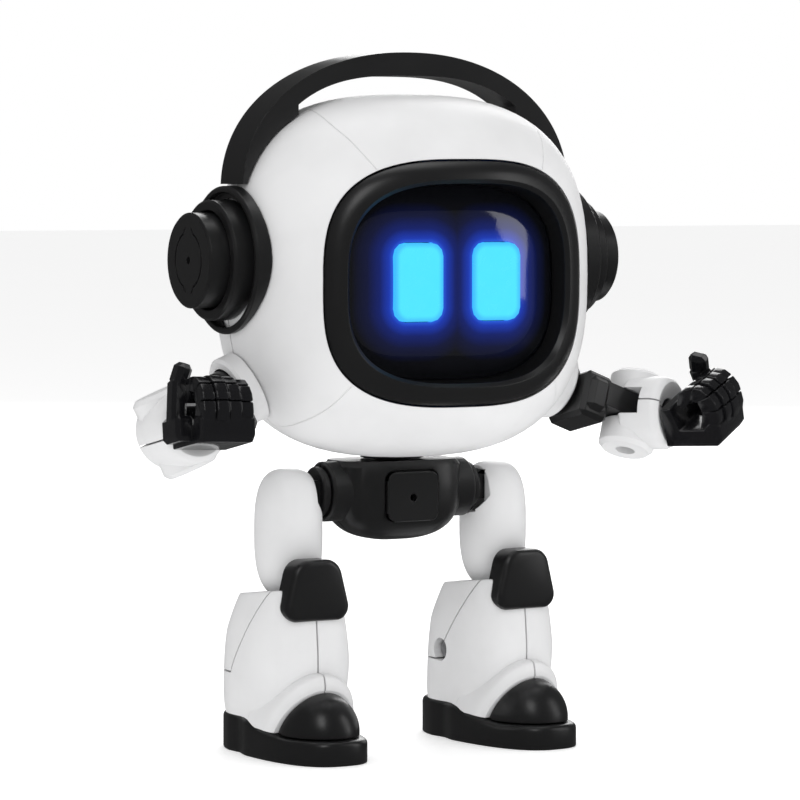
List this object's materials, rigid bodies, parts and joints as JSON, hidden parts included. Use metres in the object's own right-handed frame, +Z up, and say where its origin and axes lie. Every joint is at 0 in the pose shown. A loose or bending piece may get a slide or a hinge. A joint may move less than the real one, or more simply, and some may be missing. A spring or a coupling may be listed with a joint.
{
  "type": "walking humanoid robot toy",
  "caption": "Posable toy robot with a big round head, glowing rectangular eyes, headphones, jointed arms with curled hands and legs with black knee pads and thick-soled boots.",
  "frame": {"origin": "on the floor plane of the soles, under the centre of the robot's bounding box", "axes": "+Z up, the face looks along -Y, the robot's left side is +X"},
  "size_m": [0.1176, 0.0514, 0.1252],
  "materials": {
    "white_shell": "satin white ABS, fine moulded surface",
    "black_satin": "satin black ABS",
    "black_gloss": "glossy black ABS",
    "smoked_lens": "glossy smoked acrylic that looks near black",
    "eye_light": "lit cyan light guide",
    "circuit_board": "green solder mask",
    "cell_steel": "bright nickel-plated steel",
    "screw_steel": "plain steel"
  },
  "bodies": {
    "pelvis": {"pelvis_front_shell": "black_satin", "pelvis_rear_shell": "black_satin", "belly_plate": "black_satin", "neck_spigot": "black_satin"},
    "head": {"head_front_shell": "white_shell", "head_rear_shell": "white_shell", "screen_bezel": "black_satin", "screen_lens": "smoked_lens", "eye_light_left": "eye_light", "eye_light_right": "eye_light", "led_board": "circuit_board", "main_board": "circuit_board", "speaker": "black_satin", "battery_tray": "black_satin", "button_cells": "cell_steel", "battery_door": "white_shell", "battery_door_screw": "screw_steel", "headband": "black_satin", "ear_cup_left": "black_satin", "ear_ring_left": "black_satin", "shoulder_collar_left": "white_shell", "ear_cup_right": "black_satin", "ear_ring_right": "black_satin", "shoulder_collar_right": "white_shell"},
    "power_switch": {"power_switch": "black_satin"},
    "ear_button_left": {"ear_cap_left": "black_satin"},
    "upper_arm_left": {"upper_arm_left": "black_satin"},
    "forearm_left": {"forearm_upper_left": "white_shell", "forearm_lower_left": "white_shell", "elbow_screw_left": "screw_steel"},
    "hand_left": {"hand_left": "black_gloss"},
    "hip_left": {"hip_yoke_left": "black_satin"},
    "thigh_left": {"thigh_left": "white_shell", "hip_pin_left": "screw_steel"},
    "knee_left": {"knee_link_left": "black_satin"},
    "boot_left": {"boot_inner_left": "white_shell", "boot_outer_left": "white_shell", "boot_calf_left": "white_shell", "knee_pad_left": "black_satin", "toe_cap_left": "black_satin", "sole_left": "black_satin", "boot_screw_left": "screw_steel"},
    "ear_button_right": {"ear_cap_right": "black_satin"},
    "upper_arm_right": {"upper_arm_right": "black_satin"},
    "forearm_right": {"forearm_upper_right": "white_shell", "forearm_lower_right": "white_shell", "elbow_screw_right": "screw_steel"},
    "hand_right": {"hand_right": "black_gloss"},
    "hip_right": {"hip_yoke_right": "black_satin"},
    "thigh_right": {"thigh_right": "white_shell", "hip_pin_right": "screw_steel"},
    "knee_right": {"knee_link_right": "black_satin"},
    "boot_right": {"boot_inner_right": "white_shell", "boot_outer_right": "white_shell", "boot_calf_right": "white_shell", "knee_pad_right": "black_satin", "toe_cap_right": "black_satin", "sole_right": "black_satin", "boot_screw_right": "screw_steel"}
  },
  "joints": [
    {"name": "neck_turn", "type": "hinge", "parent": "pelvis", "child": "head", "pos_m": [-0.00359, 0.00282, 0.053], "axis": [0, 0, 1], "range_deg": [-90, 90]},
    {"name": "power_slide", "type": "slide", "parent": "head", "child": "power_switch", "axis": [1, 0, 0], "range_m": [0, 0.0028]},
    {"name": "ear_press_left", "type": "slide", "parent": "head", "child": "ear_button_left", "axis": [-1, 0, 0], "range_m": [0, 0.0008], "stiffness_N_per_m": 300, "springref_m": -0.001},
    {"name": "shoulder_left", "type": "hinge", "parent": "head", "child": "upper_arm_left", "pos_m": [0.03061, 0.00092, 0.0647], "axis": [-0.9272, 0, 0.3746], "range_deg": [-60, 120]},
    {"name": "elbow_left", "type": "hinge", "parent": "upper_arm_left", "child": "forearm_left", "pos_m": [0.04376, -0.00383, 0.05933], "axis": [-0.3635, -0.2419, -0.8996], "range_deg": [-64, 30]},
    {"name": "wrist_left", "type": "hinge", "parent": "forearm_left", "child": "hand_left", "pos_m": [0.04786, -0.01116, 0.05965], "axis": [0.4879, -0.8721, 0.0374], "range_deg": [-90, 90]},
    {"name": "hip_swing_left", "type": "hinge", "parent": "pelvis", "child": "hip_left", "pos_m": [0.01771, 0.00282, 0.0467], "axis": [-1, 0, 0], "range_deg": [-45, 80]},
    {"name": "hip_spread_left", "type": "hinge", "parent": "hip_left", "child": "thigh_left", "pos_m": [0.01771, 0.00282, 0.0467], "axis": [0, -1, 0], "range_deg": [0, 12]},
    {"name": "knee_left", "type": "hinge", "parent": "thigh_left", "child": "knee_left", "pos_m": [0.01771, 0.00282, 0.0335], "axis": [1, 0, 0], "range_deg": [0, 45]},
    {"name": "boot_turn_left", "type": "hinge", "parent": "knee_left", "child": "boot_left", "pos_m": [0.01771, 0.00282, 0.02], "axis": [0, 0, 1], "range_deg": [-30, 30]},
    {"name": "ear_press_right", "type": "slide", "parent": "head", "child": "ear_button_right", "axis": [1, 0, 0], "range_m": [0, 0.0008], "stiffness_N_per_m": 300, "springref_m": -0.001},
    {"name": "shoulder_right", "type": "hinge", "parent": "head", "child": "upper_arm_right", "pos_m": [-0.03779, 0.00092, 0.0647], "axis": [-0.9272, 0, -0.3746], "range_deg": [-60, 120]},
    {"name": "elbow_right", "type": "hinge", "parent": "upper_arm_right", "child": "forearm_right", "pos_m": [-0.05081, -0.00382, 0.05903], "axis": [-0.3689, 0.1736, 0.9131], "range_deg": [-94, 0]},
    {"name": "wrist_right", "type": "hinge", "parent": "forearm_right", "child": "hand_right", "pos_m": [-0.05081, -0.01207, 0.06059], "axis": [-0.0002, -0.9824, 0.1867], "range_deg": [-90, 90]},
    {"name": "hip_swing_right", "type": "hinge", "parent": "pelvis", "child": "hip_right", "pos_m": [-0.02489, 0.00282, 0.0467], "axis": [-1, 0, 0], "range_deg": [-45, 80]},
    {"name": "hip_spread_right", "type": "hinge", "parent": "hip_right", "child": "thigh_right", "pos_m": [-0.02489, 0.00282, 0.0467], "axis": [0, 1, 0], "range_deg": [0, 12]},
    {"name": "knee_right", "type": "hinge", "parent": "thigh_right", "child": "knee_right", "pos_m": [-0.02489, 0.00282, 0.0335], "axis": [1, 0, 0], "range_deg": [0, 45]},
    {"name": "boot_turn_right", "type": "hinge", "parent": "knee_right", "child": "boot_right", "pos_m": [-0.02489, 0.00282, 0.02], "axis": [0, 0, -1], "range_deg": [-30, 30]}
  ]
}
